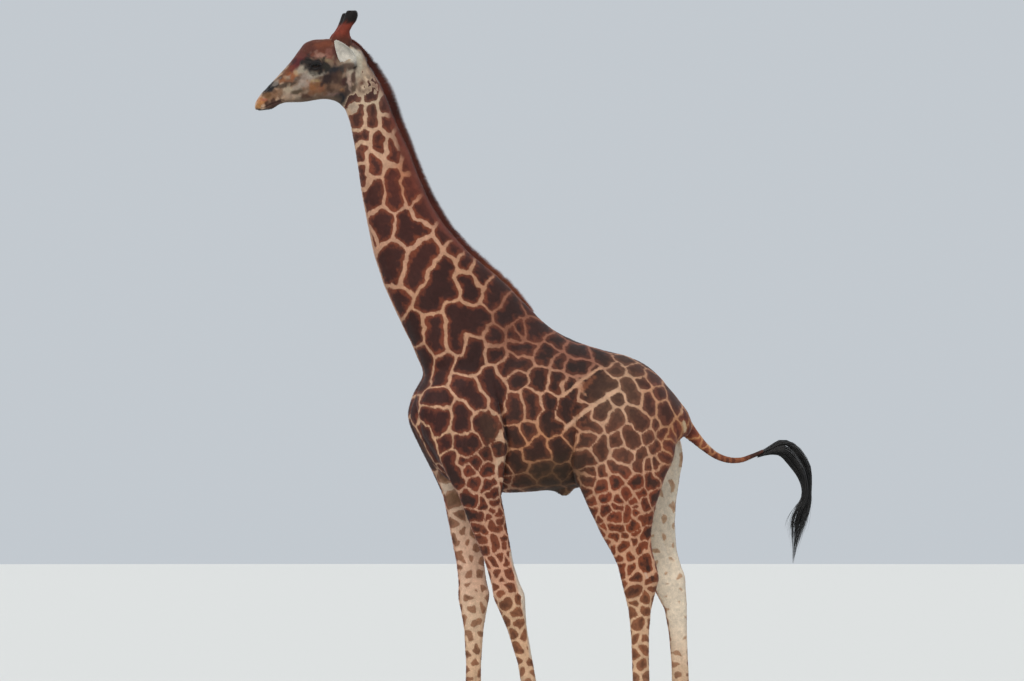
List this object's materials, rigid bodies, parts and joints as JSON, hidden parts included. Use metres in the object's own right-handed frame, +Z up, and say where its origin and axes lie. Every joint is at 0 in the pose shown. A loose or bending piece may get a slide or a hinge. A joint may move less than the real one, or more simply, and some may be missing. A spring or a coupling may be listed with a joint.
{
  "type": "life-size giraffe model",
  "caption": "Life-size standing giraffe with head up, patched coat, short mane and tail swung up behind.",
  "frame": {"origin": "on the ground, midway between the nose and the end of the tail, under the middle line of the body", "axes": "+Z up, nose towards -Y, the animal's left side at +X"},
  "size_m": [0.7448, 3.8502, 4.9429],
  "materials": {
    "coat": "short flat hair, dark brown patches parted by tan lines",
    "ear": "short pale hair",
    "horn": "short red-brown hair, black round the tip",
    "eye": "wet and glossy",
    "mane": "stiff upright hair",
    "brush": "long black hair",
    "hoof": "dull horn, ribbed round the wall"
  },
  "bodies": {
    "root": {"head": "coat", "neck_upper": "coat", "neck_lower": "coat", "trunk": "coat", "tail": "coat", "leg_fore_left_upper": "coat", "leg_fore_left_lower": "coat", "leg_fore_right_upper": "coat", "leg_fore_right_lower": "coat", "leg_hind_left_upper": "coat", "leg_hind_left_lower": "coat", "leg_hind_right_upper": "coat", "leg_hind_right_lower": "coat", "ear_left": "ear", "ear_right": "ear", "ossicone_left": "horn", "ossicone_right": "horn", "eye_left": "eye", "eye_right": "eye", "mane_upper": "mane", "mane_lower": "mane", "tail_brush": "brush", "hoof_fore_left_outer": "hoof", "hoof_fore_left_inner": "hoof", "hoof_fore_right_outer": "hoof", "hoof_fore_right_inner": "hoof", "hoof_hind_left_outer": "hoof", "hoof_hind_left_inner": "hoof", "hoof_hind_right_outer": "hoof", "hoof_hind_right_inner": "hoof"}
  },
  "joints": []
}
